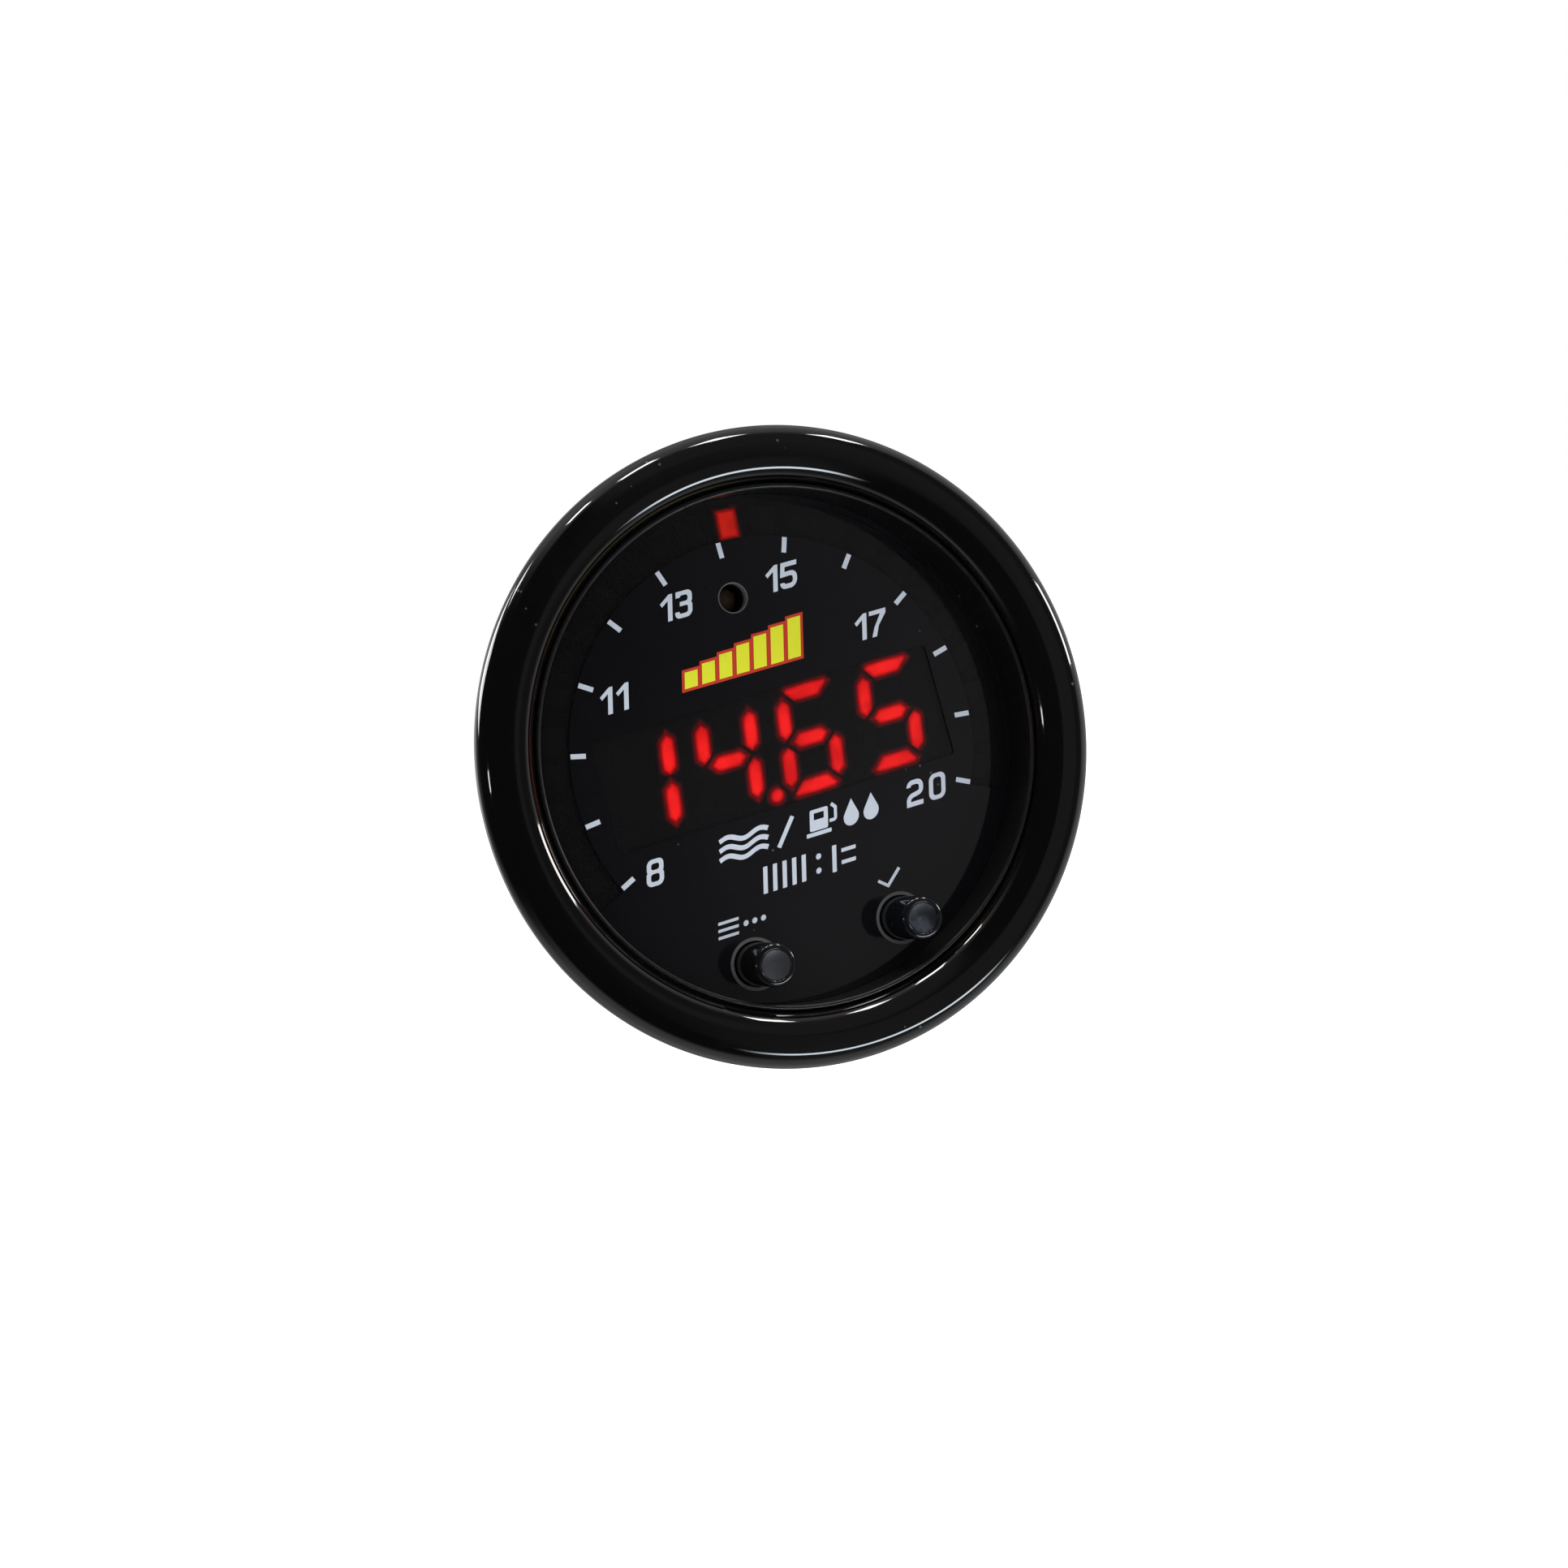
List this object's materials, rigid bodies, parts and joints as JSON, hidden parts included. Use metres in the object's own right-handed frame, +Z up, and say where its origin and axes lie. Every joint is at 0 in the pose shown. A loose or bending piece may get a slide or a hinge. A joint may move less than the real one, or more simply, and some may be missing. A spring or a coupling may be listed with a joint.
{
  "type": "air fuel ratio gauge",
  "caption": "Round panel gauge with a glossy rounded bezel, a digital display inside an arc of light bars on a printed dial, and small push buttons below it.",
  "frame": {"origin": "on the gauge's axis, in the plane of the panel, which the bezel's back face rests on", "axes": "-Y is the way the dial faces, +Y runs along the axis into the panel, +Z is up on the dial and +X is to the right for the person reading it"},
  "size_m": [0.06, 0.0223, 0.06],
  "materials": {
    "bezel": "high-gloss black enamel",
    "case": "fine moulded texture, black",
    "gasket": "soft black foam rubber",
    "film": "glossy black printed film",
    "lens": "smoked clear acrylic",
    "baffle": "matt black",
    "light_guide": "clear red diffuser",
    "led": "epoxy",
    "display": "dark grey face",
    "segment": "red diffused epoxy, some lit",
    "pin": "tinned",
    "sensor": "dark tinted epoxy",
    "board": "green solder mask",
    "button": "gloss black",
    "switch": "pressed cover",
    "plunger": "black nylon",
    "chip": "black epoxy",
    "can": "drawn can",
    "ferrite": "ferrite grey",
    "crystal": "plated lid",
    "ceramic": "tan ceramic",
    "dial_print": "white screen print",
    "emblem_print": "yellow screen print",
    "resistor": "black film",
    "socket": "glass-filled nylon",
    "contact": "gold flash",
    "cover": "fine moulded texture, black",
    "screw": "zinc plated",
    "insert": "knurled"
  },
  "bodies": {
    "gauge": {"bezel_ring": "bezel", "case_body": "case", "panel_gasket": "gasket", "dial_film": "film", "face_lens": "lens", "light_baffle": "baffle", "bar_light_guides": "light_guide", "bar_leds": "led", "display_body": "display", "display_segments": "segment", "display_pins": "pin", "light_sensor": "sensor", "main_board": "board", "mode_switch": "switch", "select_switch": "switch", "microcontroller": "chip", "sensor_driver": "chip", "voltage_regulator": "chip", "filter_capacitors": "can", "power_inductor": "ferrite", "clock_crystal": "crystal", "ceramic_capacitors": "ceramic", "chip_resistors": "resistor", "power_socket": "socket", "power_contacts": "contact", "sensor_socket": "socket", "sensor_contacts": "contact", "rear_cover": "cover", "stack_screws": "screw", "bracket_inserts": "insert"},
    "mode_button": {"mode_button_cap": "button", "mode_plunger": "plunger"},
    "select_button": {"select_button_cap": "button", "select_plunger": "plunger"}
  },
  "joints": [
    {"name": "mode_press", "type": "slide", "parent": "gauge", "child": "mode_button", "axis": [0, 1, 0], "range_m": [0, 0.00035], "stiffness_N_per_m": 2000, "springref_m": -0.0003},
    {"name": "select_press", "type": "slide", "parent": "gauge", "child": "select_button", "axis": [0, 1, 0], "range_m": [0, 0.00035], "stiffness_N_per_m": 2000, "springref_m": -0.0003}
  ]
}
